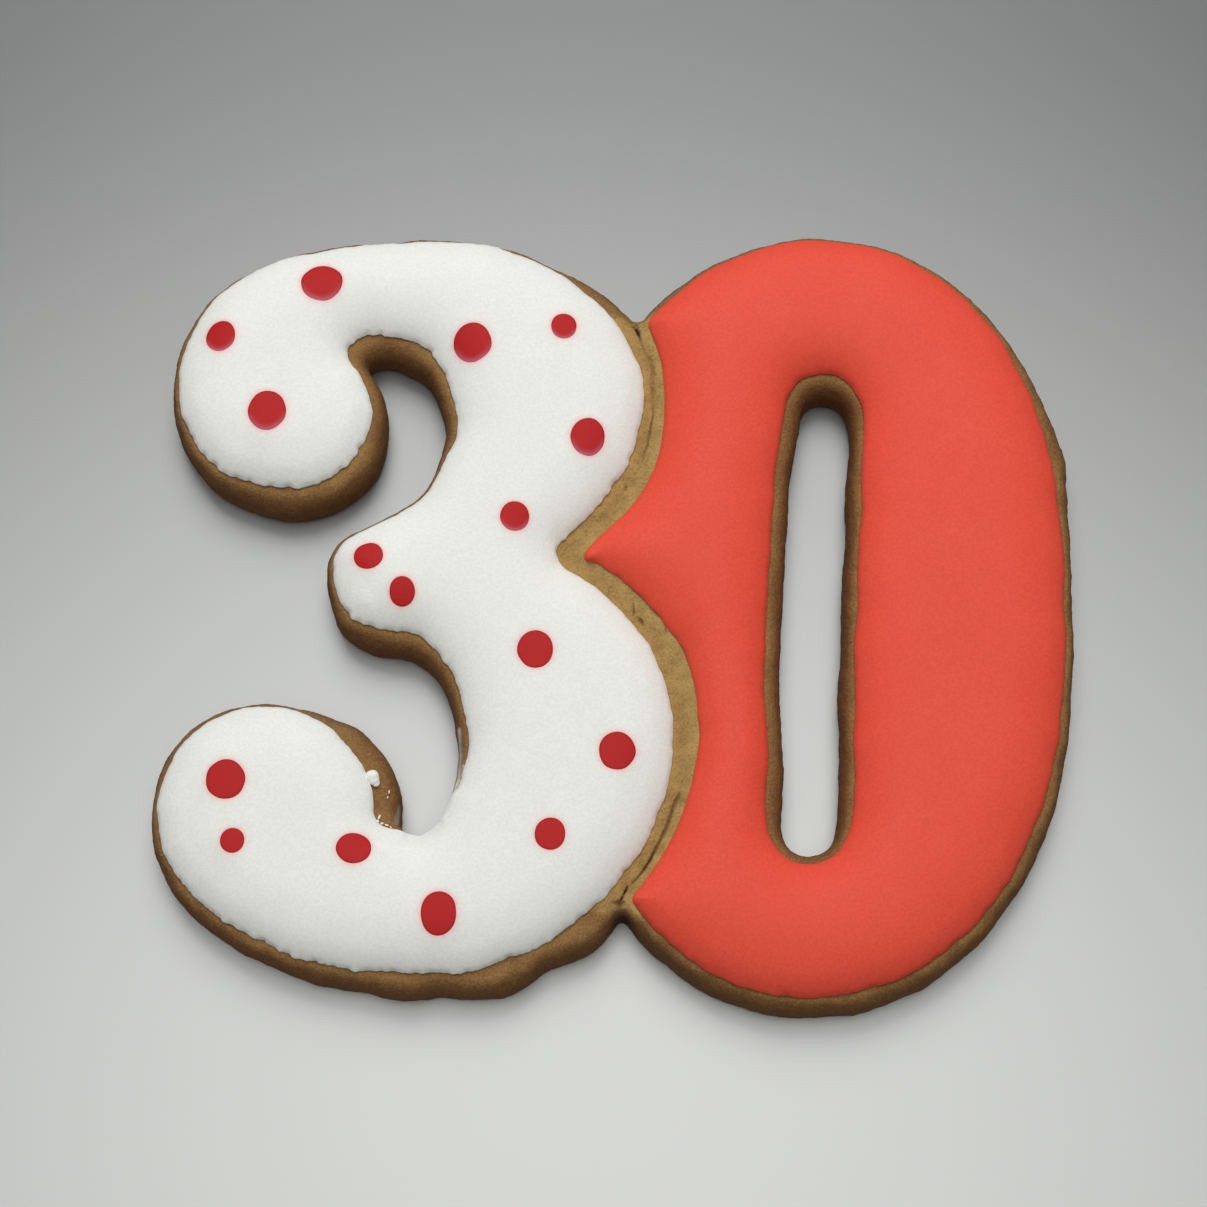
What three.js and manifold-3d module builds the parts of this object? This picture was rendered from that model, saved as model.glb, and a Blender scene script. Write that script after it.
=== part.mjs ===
// A decorated birthday cookie: the numeral 30 cut from rolled dough as two digits baked together,
// the 3 flooded with white icing and red dots, the 0 flooded with coral icing round its slot.
// Millimetres, +Z up. The cookie lies on z = 0 with its digits upright along +Y, and the origin
// is under the middle of the box round its outline.
import * as THREE from "three";
import { mergeVertices } from "three/addons/utils/BufferGeometryUtils.js";
import Module from "manifold-3d";

// Heights
const doughThickness = 6;
const icingThickness = 2.8;

// How far the dough shows beyond the icing, and how far the icing lies off the dough's middle
const outerRim = 1.15;
const slotRim = 1.6;
const icingDrift = { x: -0.1, y: 0.6 };
const coralRim = 1.2;
const coralDrift = { x: -0.15, y: 0.5 };
const slotDrift = { x: -0.25, y: 0.35 };
const flatRim = 0.3;

// Inside the bowls of the 3 the icing keeps further off the edge: where, and by how much more
const counterRims = [
  { x: -23.5, y: 24.0, r: 6.5, extra: 0.45 },
  { x: -30.0, y: 31.0, r: 2.5, extra: 0.6 },
  { x: -29.0, y: 17.0, r: 4.5, extra: 0.7 },
  { x: -36.0, y: 13.5, r: 3.0, extra: 0.5 },
  { x: -22.0, y: -9.0, r: 7.5, extra: 0.2 },
];
const counterReach = 2;

// How far the coral icing keeps off the 3, at heights down the seam
const seamRims = [
  { y: 44, rim: 1.8 },
  { y: 34, rim: 1.8 },
  { y: 24, rim: 1.4 },
  { y: 14, rim: 2.1 },
  { y: 5, rim: 1.5 },
  { y: -7, rim: 2.15 },
  { y: -17, rim: 1.6 },
  { y: -26, rim: 1.35 },
  { y: -32, rim: 1.1 },
  { y: -44, rim: 1.1 },
];

// The 3 as the track of a round pen: each station is the pen's middle and its half width
const upperBowl = [
  { x: -35.3, y: 21.4, r: 10.4 },
  { x: -38.8, y: 24.0, r: 11.1 },
  { x: -38.9, y: 29.4, r: 10.0 },
  { x: -33.6, y: 35.1, r: 7.5 },
  { x: -26.8, y: 36.7, r: 6.7 },
  { x: -20.3, y: 36.2, r: 7.7 },
  { x: -13.4, y: 33.2, r: 9.5 },
  { x: -7.6, y: 25.0, r: 11.9 },
  { x: -7.4, y: 20.3, r: 10.9 },
  { x: -10.8, y: 14.1, r: 9.6 },
  { x: -14.2, y: 9.4, r: 8.1 },
  { x: -19.0, y: 5.9, r: 7.3 },
  { x: -25.0, y: 2.6, r: 7.2 },
];
const lowerBowl = [
  { x: -25.0, y: 2.6, r: 7.2 },
  { x: -19.7, y: 1.9, r: 6.8 },
  { x: -15.2, y: -0.2, r: 7.9 },
  { x: -9.8, y: -3.9, r: 10.0 },
  { x: -5.5, y: -10.9, r: 12.0 },
  { x: -4.8, y: -16.6, r: 12.2 },
  { x: -6.7, y: -23.4, r: 11.2 },
  { x: -10.3, y: -28.7, r: 10.0 },
  { x: -17.0, y: -33.8, r: 7.9 },
  { x: -23.6, y: -33.5, r: 8.1 },
  { x: -30.2, y: -31.1, r: 9.5 },
  { x: -35.0, y: -26.7, r: 11.6 },
  { x: -37.8, y: -22.9, r: 13.0 },
];
const barCorner = { x: -27.6, y: 4.5, r: 4.2 };

// How softly the two bowls meet beside the 0, to the right of the counters
const waist = { from: -14, rounding: 2.4 };

// Dough that spread past the tracks, and how softly it joins them
const bulges = [
  { x: -33.3, y: -21.7, r: 10.0 },
  { x: -8.0, y: -29.6, r: 9.3 },
  { x: -14.6, y: -33.0, r: 9.2 },
  { x: -22.2, y: -34.2, r: 8.0 },
  { x: -39.5, y: -21.0, r: 9.9 },
  { x: -6.2, y: 25.6, r: 12.1 },
  { x: -7.8, y: 28.0, r: 11.7 },
  { x: 35.0, y: 15.5, r: 15.4 },
];
const bulgeRounding = 1.2;

// Icing that ran to the edge at the foot of the lower counter, and a bare patch above it
const icingRuns = [
  { x: -24.0, y: -27.8, r: 2.6 },
  { x: -20.9, y: -28.3, r: 2.6 },
  { x: -18.2, y: -25.6, r: 2.6 },
  { x: -16.4, y: -22.6, r: 2.0 },
];
const barePatch = [
  { x: -26.2, y: -14.6, r: 1.7 },
  { x: -24.4, y: -17.6, r: 2.0 },
  { x: -23.7, y: -20.2, r: 2.5 },
  { x: -23.6, y: -22.4, r: 2.4 },
];

// White icing that fills the corner between the bowls, and the blunt nib of the coral icing there
const cornerIcing = { x: -9.3, y: 6.1, r: 2.9 };
const nibIcing = { x: -2.75, y: 5.55, r: 0.75 };

// The 0: half of its width and height, how far it leans, and the exponent that fills its flanks
const zero = { x: 21.9, halfWidth: 28.4, halfHeight: 44.1, lean: 0.03 };
const zeroFullness = { head: 2.7, foot: 2.62, coral: 2.52 };
const slotTrack = [
  { x: 23.6, y: 23.2, r: 2.8 },
  { x: 22.7, y: 13.7, r: 3.25 },
  { x: 21.8, y: 1.7, r: 3.3 },
  { x: 21.2, y: -8.3, r: 3.3 },
  { x: 21.2, y: -18.3, r: 3.05 },
  { x: 20.7, y: -24.8, r: 3.15 },
];

// Red dots on the 3, each with its middle, width and height
const dots = [
  { x: -33.0, y: 37.5, width: 4.5, height: 3.9 },
  { x: -44.2, y: 31.0, width: 3.2, height: 3.4 },
  { x: -38.6, y: 22.0, width: 4.1, height: 4.3 },
  { x: -16.0, y: 30.2, width: 4.2, height: 4.4 },
  { x: -5.8, y: 32.1, width: 2.8, height: 3.0 },
  { x: -3.1, y: 18.9, width: 3.8, height: 4.4 },
  { x: -11.1, y: 9.6, width: 3.2, height: 3.4 },
  { x: -27.0, y: 5.2, width: 3.3, height: 3.2 },
  { x: -23.2, y: 1.1, width: 2.8, height: 3.3 },
  { x: -8.7, y: -5.5, width: 3.9, height: 4.2 },
  { x: 0.1, y: -16.7, width: 3.9, height: 4.2 },
  { x: -41.5, y: -19.8, width: 4.2, height: 4.4 },
  { x: -7.0, y: -25.7, width: 3.3, height: 3.5 },
  { x: -40.5, y: -26.4, width: 2.6, height: 2.7 },
  { x: -27.7, y: -27.2, width: 3.7, height: 3.4 },
  { x: -18.6, y: -34.1, width: 3.8, height: 4.7 },
];
const dotRise = 0.2;
const dotDepth = 0.5;
const dotSides = 12;
const dotFootShare = 0.8;
const dotShoulder = { widthShare: 0.72, riseShare: 0.7 };

// The seam where the two doughs meet, as a round-bottomed groove
const grooveRadius = 0.6;
const grooveDepth = 0.45;
const grooveSides = 8;
const grooveStep = 2.2;

// How softly the doughs run together, and how blunt the icing's corners are
const cornerRounding = 0.5;
const nibRounding = 0.8;

// Half of the width and height of the area in which the outlines are drawn, and how finely
const reach = { x: 55, y: 50 };
const penStep = 0.4;
const blend = 0.4;
const cell = 0.8;
const longestEdge = 4;
const sharpestTurn = THREE.MathUtils.degToRad(16);

// Cross-sections from the underside to the top: height, and a width taken in from the outline.
// The dough's shoulder is taken in by a share of the rim, which differs from side to side.
const doughFoot = [
  { z: 0, inset: 0.7 },
  { z: 0.3, inset: 0.2 },
  { z: 1.3, inset: 0 },
  { z: 3.3, inset: 0.05 },
];
const doughShoulder = [
  { z: 4.9, share: 0.25 },
  { z: 5.6, share: 0.55 },
  { z: 5.9, share: 0.8 },
  { z: doughThickness, share: 1 },
];
const icingSkirt = { z: 0.3, inset: -0.12 };
const shoulderWidth = 3.8;
const shoulderInsets = [0, 0.35, 1, 1.9, 2.8, shoulderWidth];
const lipHeight = 0.4;
const pillowBow = 2;
const pillowSteepness = 0.8;

// Where the outline is narrow the icing's rings lie closer together: the share of true depth that
// still counts as room, the share of the room that is used, and how fast it may change
const depthShare = 0.89;
const roomShare = 0.7;
const roomSlope = 0.35;

const wasm = await Module();
wasm.setup();

// The pen's track as closely spaced discs. A disc's share evens out how many lie near the edge.
function track(stations) {
  const curve = new THREE.CatmullRomCurve3(
    stations.map((s) => new THREE.Vector3(s.x, s.y, s.r)),
    false,
    "centripetal",
  );
  const count = Math.ceil(curve.getLength() / penStep);
  return curve.getSpacedPoints(count).map((v) => ({
    x: v.x,
    y: v.y,
    r: v.z,
    share: penStep / Math.sqrt(2 * Math.PI * blend * v.z),
  }));
}

// Distance from a point to the edge of a group of discs, below zero inside. The discs blend over
// a small width, so that the edge stays smooth where a track bends or tapers.
function toDiscs(list, x, y) {
  let sum = 0;
  for (const { x: cx, y: cy, r, share = 1 } of list)
    sum += share * Math.exp((r - Math.hypot(x - cx, y - cy)) / blend);
  return -blend * Math.log(sum);
}

// The smaller of two distances, with the corner between them rounded over a width
function smoothMin(a, b, width) {
  const h = Math.max(width - Math.abs(a - b), 0) / width;
  return Math.min(a, b) - (h * h * width) / 4;
}

function smoothMax(a, b, width) {
  return -smoothMin(-a, -b, width);
}

// The slow waver of a hand-cut, baked edge
function waver(x, y) {
  const slow = Math.sin(0.61 * x + 1.3) * Math.sin(0.53 * y + 0.4);
  const quick = Math.sin(1.13 * x - 0.87 * y);
  return 0.12 * slow + 0.04 * quick;
}

const upperDiscs = [...track(upperBowl), barCorner];
const lowerDiscs = track(lowerBowl);
const slotDiscs = track(slotTrack);

// The 3 with a sharp corner where its bowls meet beside the 0, and with that corner filled softly
function bowlsField(x, y) {
  return toDiscs([...upperDiscs, ...lowerDiscs], x, y);
}

function threeField(x, y) {
  const bowls = bowlsField(x, y);
  if (x < waist.from) return bowls;
  const apart = [toDiscs(upperDiscs, x, y), toDiscs(lowerDiscs, x, y)];
  return Math.min(bowls, smoothMin(...apart, waist.rounding));
}

function zeroField(x, y, fullness = y > 0 ? zeroFullness.head : zeroFullness.foot) {
  const u = (x - zero.x - zero.lean * y) / zero.halfWidth;
  const v = Math.abs(y) / zero.halfHeight;
  const value = u * u + v ** fullness - 1;
  const slopeX = (2 * u) / zero.halfWidth;
  const slopeY = (fullness * v ** (fullness - 1)) / zero.halfHeight;
  return value / Math.max(Math.hypot(slopeX, slopeY), 1 / zero.halfHeight);
}

function slotField(x, y) {
  return toDiscs(slotDiscs, x, y);
}

function doughField(x, y) {
  const digits = smoothMin(threeField(x, y), zeroField(x, y), cornerRounding);
  const spread = bulges.map((bulge) => toDiscs([bulge], x, y));
  const baked = smoothMin(digits, Math.min(...spread), bulgeRounding);
  return Math.max(baked, -slotField(x, y)) + waver(x, y);
}

// How much wider the rim is at a point because it lies inside a bowl of the 3
function counterRim(x, y) {
  const widths = counterRims.map((each) => {
    const away = Math.max(toDiscs([each], x, y), 0) / counterReach;
    return each.extra * Math.exp(-away * away);
  });
  return Math.max(...widths);
}

function whiteField(x, y) {
  const drifted = threeField(x - icingDrift.x, y - icingDrift.y) + outerRim + counterRim(x, y);
  const whole = smoothMin(drifted, toDiscs([cornerIcing], x, y), nibRounding);
  const poured = smoothMax(whole, -toDiscs(barePatch, x, y), nibRounding);
  const run = smoothMax(toDiscs(icingRuns, x, y), doughField(x, y) + flatRim, nibRounding);
  return smoothMin(poured, run, nibRounding) + waver(y, x);
}

// How far the coral icing keeps off the 3 at a height, between the heights that are named
function seamRim(y) {
  const after = Math.max(seamRims.findIndex((each) => each.y < y), 1);
  const [above, below] = [seamRims[after - 1], seamRims[after]];
  const share = THREE.MathUtils.smoothstep(y, below.y, above.y);
  return THREE.MathUtils.lerp(below.rim, above.rim, share);
}

function coralField(x, y) {
  const inZero = zeroField(x - coralDrift.x, y - coralDrift.y, zeroFullness.coral) + coralRim;
  const offThree = seamRim(y) - bowlsField(x - icingDrift.x, y - icingDrift.y);
  const offSlot = slotRim - slotField(x - slotDrift.x, y - slotDrift.y);
  const body = smoothMax(inZero, offThree, nibRounding);
  const drawnOut = smoothMin(body, toDiscs([nibIcing], x, y), nibRounding);
  return Math.max(drawnOut, offSlot) + waver(y, x);
}

// The direction in which a field grows, as a unit vector
function outward(field, x, y) {
  const h = 0.05;
  const slope = new THREE.Vector2(
    field(x + h, y) - field(x - h, y),
    field(x, y + h) - field(x, y - h),
  );
  return slope.normalize();
}

// The closed loops on which a field is zero, each with the inside on its left, by marching squares
function contours(field) {
  const columns = Math.ceil((2 * reach.x) / cell);
  const rows = Math.ceil((2 * reach.y) / cell);
  const at = (i, j) => new THREE.Vector2(i * cell - reach.x, j * cell - reach.y);
  const values = [];
  for (let j = 0; j <= rows; j++) {
    values.push([]);
    for (let i = 0; i <= columns; i++) values[j].push(field(at(i, j).x, at(i, j).y));
  }
  const corners = [
    [0, 0],
    [1, 0],
    [1, 1],
    [0, 1],
  ];
  const next = new Map();
  const points = new Map();
  const edgeKey = (a, b) => [a, b].sort().join(" ");
  for (let j = 0; j < rows; j++)
    for (let i = 0; i < columns; i++) {
      const entries = [];
      const exits = [];
      corners.forEach(([di, dj], k) => {
        const [ei, ej] = corners[(k + 1) % 4];
        const a = values[j + dj][i + di];
        const b = values[j + ej][i + ei];
        if (a < 0 === b < 0) return;
        const key = edgeKey(`${i + di},${j + dj}`, `${i + ei},${j + ej}`);
        points.set(key, at(i + di, j + dj).lerp(at(i + ei, j + ej), a / (a - b)));
        (a < 0 ? exits : entries).push(key);
      });
      exits.forEach((key, k) => next.set(key, entries[k]));
    }
  const loops = [];
  while (next.size) {
    const loop = [];
    let key = next.keys().next().value;
    while (next.has(key)) {
      loop.push(points.get(key));
      const following = next.get(key);
      next.delete(key);
      key = following;
    }
    loops.push(loop.map((p) => onEdge(field, p)));
  }
  return loops;
}

// A point moved on to the line where the field is zero
function onEdge(field, p) {
  const moved = p.clone();
  for (let step = 0; step < 3; step++)
    moved.addScaledVector(outward(field, moved.x, moved.y), -field(moved.x, moved.y));
  return moved;
}

// A loop with fewer points, closest together where it bends
function thinned(loop) {
  const total = [0];
  loop.forEach((p, i) => {
    const before = loop.at(i - 1);
    const after = loop[(i + 1) % loop.length];
    const turn = Math.abs(
      THREE.MathUtils.euclideanModulo(
        after.clone().sub(p).angle() - p.clone().sub(before).angle() + Math.PI,
        2 * Math.PI,
      ) - Math.PI,
    );
    total.push(total[i] + p.distanceTo(after) / longestEdge + turn / sharpestTurn);
  });
  const count = Math.round(total.at(-1));
  const kept = [];
  let i = 0;
  for (let k = 0; k < count; k++) {
    const wanted = (k / count) * total.at(-1);
    while (total[i + 1] < wanted) i++;
    const share = (wanted - total[i]) / (total[i + 1] - total[i]);
    kept.push(loop[i].clone().lerp(loop[(i + 1) % loop.length], share));
  }
  return kept;
}

// How far a point of the edge can move inwards before it nears the opposite edge
function roomInside(field, p, out) {
  const step = 0.25;
  const most = (shoulderWidth + step) / roomShare;
  const deepEnough = (d) => field(p.x - out.x * d, p.y - out.y * d) < -depthShare * d;
  let room = step;
  while (room < most && deepEnough(room)) room += step;
  return roomShare * room;
}

// The outline of a field: its loops' points, each with its outward direction and the room inside
function outline(field) {
  const measured = (point) => {
    const p = onEdge(field, point);
    const out = outward(field, p.x, p.y);
    return { p, out, room: roomInside(field, p, out) };
  };
  return contours(field).map((loop) => evened(thinned(loop).map(measured)));
}

// A loop whose room changes no faster along the edge than its points are apart
function evened(loop) {
  const level = (at, other) => {
    at.room = Math.min(at.room, other.room + roomSlope * at.p.distanceTo(other.p));
  };
  for (let pass = 0; pass < 2; pass++) {
    for (let i = 0; i < loop.length; i++) level(loop[i], loop.at(i - 1));
    for (let i = loop.length - 1; i >= 0; i--) level(loop[i], loop[(i + 1) % loop.length]);
  }
  return loop;
}

// A closed slab whose outline steps in and out from row to row. A row has its height and, for each
// point of the outline, how far in it lies.
function slab(loops, rows) {
  const positions = [];
  const indices = [];
  const ringStart = [];
  rows.forEach((row) => {
    ringStart.push(positions.length / 3);
    for (const at of loops.flat()) {
      const q = at.p.clone().addScaledVector(at.out, -row.inset(at));
      positions.push(q.x, q.y, row.z);
    }
  });
  let first = 0;
  for (const loop of loops) {
    for (let k = 0; k < loop.length; k++) {
      const here = first + k;
      const there = first + ((k + 1) % loop.length);
      for (let r = 0; r + 1 < rows.length; r++) {
        const [low, high] = [ringStart[r], ringStart[r + 1]];
        indices.push(low + here, low + there, high + there);
        indices.push(low + here, high + there, high + here);
      }
    }
    first += loop.length;
  }
  cap(loops, positions, ringStart[0], indices, -1);
  cap(loops, positions, ringStart.at(-1), indices, 1);
  const geometry = new THREE.BufferGeometry();
  geometry.setAttribute("position", new THREE.Float32BufferAttribute(positions, 3));
  geometry.setIndex(indices);
  return geometry;
}

// Fills one ring of a slab with triangles that face up for side 1 and down for side -1
function cap(loops, positions, start, indices, side) {
  let index = start;
  const rings = loops.map((loop) =>
    loop.map(() => {
      const v = new THREE.Vector2(positions[3 * index], positions[3 * index + 1]);
      v.index = index++;
      return v;
    }),
  );
  rings.sort((a, b) => Math.abs(THREE.ShapeUtils.area(b)) - Math.abs(THREE.ShapeUtils.area(a)));
  const all = rings.flat();
  const faces = THREE.ShapeUtils.triangulateShape(rings[0], rings.slice(1));
  for (const face of faces) {
    const corners = face.map((i) => all[i]);
    const facing = Math.sign(THREE.ShapeUtils.area(corners)) === side;
    const ordered = facing ? corners : corners.reverse();
    indices.push(...ordered.map((v) => v.index));
  }
}

// The rim's width beside a point of the dough's edge
function rimAt({ p, out }) {
  const besideSlot = slotField(p.x, p.y) < 1;
  const base = besideSlot ? slotRim : outerRim;
  return base - out.x * icingDrift.x - out.y * icingDrift.y;
}

function doughRows() {
  const foot = doughFoot.map(({ z, inset }) => ({ z, inset: () => inset }));
  const shoulder = doughShoulder.map(({ z, share }) => ({
    z,
    inset: (at) => share * Math.max(rimAt(at) - flatRim, flatRim),
  }));
  return [...foot, ...shoulder];
}

// The icing's height over the dough at a distance in from its edge: a rounded lip, then a pillow
function icingHeight(inset) {
  const across = Math.min(Math.max(inset, 0) / shoulderWidth, 1);
  const pillow = (1 - (1 - across) ** pillowBow) ** pillowSteepness;
  return lipHeight + (icingThickness - lipHeight) * pillow;
}

function icingRows() {
  const under = { z: doughThickness, inset: () => 0 };
  const skirt = { z: doughThickness + icingSkirt.z, inset: () => icingSkirt.inset };
  const dome = shoulderInsets.map((width) => ({
    z: doughThickness + icingHeight(width),
    inset: (at) => width * Math.min(1, at.room / shoulderWidth),
  }));
  return [under, skirt, ...dome];
}

// Solids in and out of the library that joins and cuts them
function solidOf(geometry) {
  const bare = geometry.clone();
  bare.deleteAttribute("normal");
  bare.deleteAttribute("uv");
  const merged = mergeVertices(bare, 1e-4);
  const faces = [];
  for (let i = 0; i < merged.index.count; i += 3) {
    const [a, b, c] = merged.index.array.slice(i, i + 3);
    if (a !== b && b !== c && c !== a) faces.push(a, b, c);
  }
  return new wasm.Manifold(
    new wasm.Mesh({
      numProp: 3,
      vertProperties: new Float32Array(merged.attributes.position.array),
      triVerts: new Uint32Array(faces),
    }),
  );
}

function geometryOf(solid) {
  const mesh = solid.getMesh();
  const geometry = new THREE.BufferGeometry();
  geometry.setAttribute("position", new THREE.BufferAttribute(mesh.vertProperties, 3));
  geometry.setIndex(new THREE.BufferAttribute(mesh.triVerts, 1));
  return geometry;
}

// One dot of icing as a low dome, set into the white icing square to its surface
function dot({ x, y, width, height }) {
  const profile = [
    new THREE.Vector2(0, -dotDepth),
    new THREE.Vector2(dotFootShare, -dotDepth),
    new THREE.Vector2(1, 0),
    new THREE.Vector2(dotShoulder.widthShare, dotShoulder.riseShare * dotRise),
    new THREE.Vector2(0, dotRise),
  ];
  const geometry = new THREE.LatheGeometry(profile, dotSides);
  geometry.rotateX(Math.PI / 2);
  geometry.scale(width / 2, height / 2, 1);
  const depth = (px, py) => Math.max(-whiteField(px, py), 0);
  const level = (px, py) => doughThickness + icingHeight(depth(px, py));
  const span = 0.5;
  const normal = new THREE.Vector3(
    (level(x - span, y) - level(x + span, y)) / (2 * span),
    (level(x, y - span) - level(x, y + span)) / (2 * span),
    1,
  ).normalize();
  const turn = new THREE.Quaternion().setFromUnitVectors(new THREE.Vector3(0, 0, 1), normal);
  geometry.applyQuaternion(turn);
  geometry.translate(x, y, level(x, y));
  return geometry;
}

// The groove along the right side of the 3, where its dough meets the dough of the 0
function seamGroove() {
  const loop = contours(threeField)[0];
  const inZero = (p) => zeroField(p.x, p.y) < 0.5 && slotField(p.x, p.y) > 0;
  const first = loop.findIndex((p, i) => inZero(p) && !inZero(loop.at(i - 1)));
  const path = [];
  for (let i = first; inZero(loop[i % loop.length]); i++) {
    const p = loop[i % loop.length];
    if (!path.length || path.at(-1).distanceTo(p) > grooveStep) path.push(p);
  }
  const height = doughThickness - grooveDepth + grooveRadius;
  const run = new THREE.CatmullRomCurve3(path.map((p) => new THREE.Vector3(p.x, p.y, height)));
  const section = new THREE.Shape();
  section.absarc(0, 0, grooveRadius, 0, 2 * Math.PI);
  return new THREE.ExtrudeGeometry(section, {
    extrudePath: run,
    steps: path.length,
    curveSegments: grooveSides / 2,
    bevelEnabled: false,
  });
}

function piece(name, geometry, colour, roughness) {
  const material = new THREE.MeshStandardMaterial({ color: colour, roughness, metalness: 0 });
  const mesh = new THREE.Mesh(geometry, material);
  mesh.name = name;
  return mesh;
}

function bakedDough() {
  const body = solidOf(slab(outline(doughField), doughRows()));
  const groove = solidOf(seamGroove());
  return piece("cookie", geometryOf(body.subtract(groove)), 0x8a6332, 0.85);
}

function whiteIcing() {
  let body = solidOf(slab(outline(whiteField), icingRows()));
  for (const each of dots) body = body.add(solidOf(dot(each)));
  return piece("white_icing", geometryOf(body), 0xeae9e0, 0.55);
}

function coralIcing() {
  const geometry = slab(outline(coralField), icingRows());
  return piece("coral_icing", geometry, 0xe2553f, 0.55);
}

const whole = new THREE.Group();
whole.name = "birthday_cookie";
whole.add(bakedDough(), whiteIcing(), coralIcing());
const box = new THREE.Box3().setFromObject(whole);
const middle = box.getCenter(new THREE.Vector3());
whole.position.set(-middle.x, -middle.y, 0);

export default whole;
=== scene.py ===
"""A decorated birthday cookie: two baked digits, grown together, under white and coral icing.

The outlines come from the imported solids. Lengths are in millimetres until a mesh is made.
"""

import math

import bpy
import numpy as np
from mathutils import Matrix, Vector, noise
from mathutils.bvhtree import BVHTree
from mathutils.geometry import delaunay_2d_cdt
from mathutils.kdtree import KDTree


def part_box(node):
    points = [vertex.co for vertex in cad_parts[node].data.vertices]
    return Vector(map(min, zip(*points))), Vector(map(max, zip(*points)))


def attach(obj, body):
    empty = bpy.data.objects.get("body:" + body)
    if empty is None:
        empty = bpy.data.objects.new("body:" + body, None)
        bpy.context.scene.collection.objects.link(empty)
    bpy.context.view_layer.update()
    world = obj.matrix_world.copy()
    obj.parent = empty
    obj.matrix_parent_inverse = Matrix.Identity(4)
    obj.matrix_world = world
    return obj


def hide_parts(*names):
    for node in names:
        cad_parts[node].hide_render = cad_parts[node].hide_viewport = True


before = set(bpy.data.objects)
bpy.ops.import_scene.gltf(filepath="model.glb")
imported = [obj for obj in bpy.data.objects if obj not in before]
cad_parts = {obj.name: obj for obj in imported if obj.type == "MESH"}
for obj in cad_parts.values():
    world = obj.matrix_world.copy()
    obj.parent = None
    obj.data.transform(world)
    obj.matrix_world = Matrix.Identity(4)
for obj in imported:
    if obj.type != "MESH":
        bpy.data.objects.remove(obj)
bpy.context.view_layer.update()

MM = 0.001
BODY = "root"

# Heights that the solids have
DOUGH_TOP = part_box("cookie")[1].z / MM
ICING_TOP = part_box("coral_icing")[1].z / MM - DOUGH_TOP

# Levels at which the solids have a ring of edges round their outline
DOUGH_WIDEST = 1.3
ICING_LIP = 0.4
# Their corners match to so many digits, and lie at one level within this distance
MATCHING_DIGITS = 3
SAME_LEVEL = 0.01

# The dough's section: a foot rounded under, an upright wall and a rounded shoulder
FOOT_INSET = 0.7
FOOT_ROUNDNESS = 2.4
WALL_TOP = 3.3
SHOULDER_ROUNDNESS = 1.85
FLAT_RIM = 0.3
NARROWEST_SHOULDER = 0.3
WIDEST_SHOULDER = 1.7
FOOT_ROWS = 6
WALL_ROWS = 5
SHOULDER_ROWS = 9

# The icing's section: it rounds out over its foot, stands up to a lip and pillows inwards
ICING_SINK = 0.06
DEEPEST_DRAPE = 0.5
PILLOW_WIDTH = 6.0
PILLOW_BOW = 2.0
PILLOW_STEEPNESS = 0.8
ICING_SECTION = (
    (0.25, -ICING_SINK),
    (0.02, -ICING_SINK),
    (-0.07, 0.08),
    (-0.1, 0.17),
    (-0.08, 0.27),
    (0.0, 0.36),
)
LIP_INSET = 0.12

# How finely the outlines and surfaces are divided
CURVE_PARTS = 24
OUTLINE_STEP = 0.24
EDGE_INSETS = (0.3, 0.55, 0.85, 1.2, 1.6, 2.1)
ICING_GRID = 0.6
RIM_GRID = 0.32
HIDDEN_GRID = 2.4
UNDER_GRID = 1.1
GRID_STRAY = 0.12
ROW_ROOM = 0.9
# How near to a surface's rim its inner corners may come, as shares of RIM_GRID and UNDER_GRID
RIM_MARGIN = 0.6
CRACK_MARGIN = 0.3
UNDER_MARGIN = 0.5
# The same under the icing, in millimetres
HIDDEN_MARGIN = 1.0
# How far under the icing the dough is fine, and from where it is coarse
SHOWN_UNDER = 0.6
HIDDEN_FROM = 0.9
SEEDS = {"rim": 11, "hidden": 12, "under": 13, "icing": 21, "icing_under": 22}
INSIDE_ONLY = 1
CLOSEST_CORNERS = 1e-7
TINY = 1e-6

# How far in from the icing's edge its broad and its fine waves reach, and how the broad ones
# and the dough's rim are smoothed
WAVE_REACH = 0.7
FINE_REACH = 0.16
BROAD_PASSES = 40
RIM_PASSES = 12

# The icing's levels are evened out from a distance in from its edge
EVENING = 0.85
EVENING_START = 0.25
EVENING_WIDTH = 1.2
EVENING_PASSES = 20

# Layers of noise, each with its amount, the size of its features and a shift
EDGE_WAVES = ((1.0, 2.2, 0.0), (1.0, 0.9, 7.0), (0.5, 0.45, 2.0))
DOUGH_BUMPS = ((0.11, 2.4, 2.2), (0.07, 0.9, 6.1), (0.05, 0.42, 8.4))
BUMPS_FADE = 0.5
DIMPLES = ((0.12, 2.3, 5.5),)
SEAM_WANDER = ((0.35, 7.0, 1.7),)
CRACK_WOBBLE = ((0.35, 0.6, 4.2),)
ICING_SWELL = ((0.03, 9.0, 1.1),)
BAKED_PATCHES = ((1.0, 4.5, 3.3),)
SWELL_START = 3.0

# From the drawing's origin to the part's
SHIFT = (-0.294, -0.061)

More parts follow.
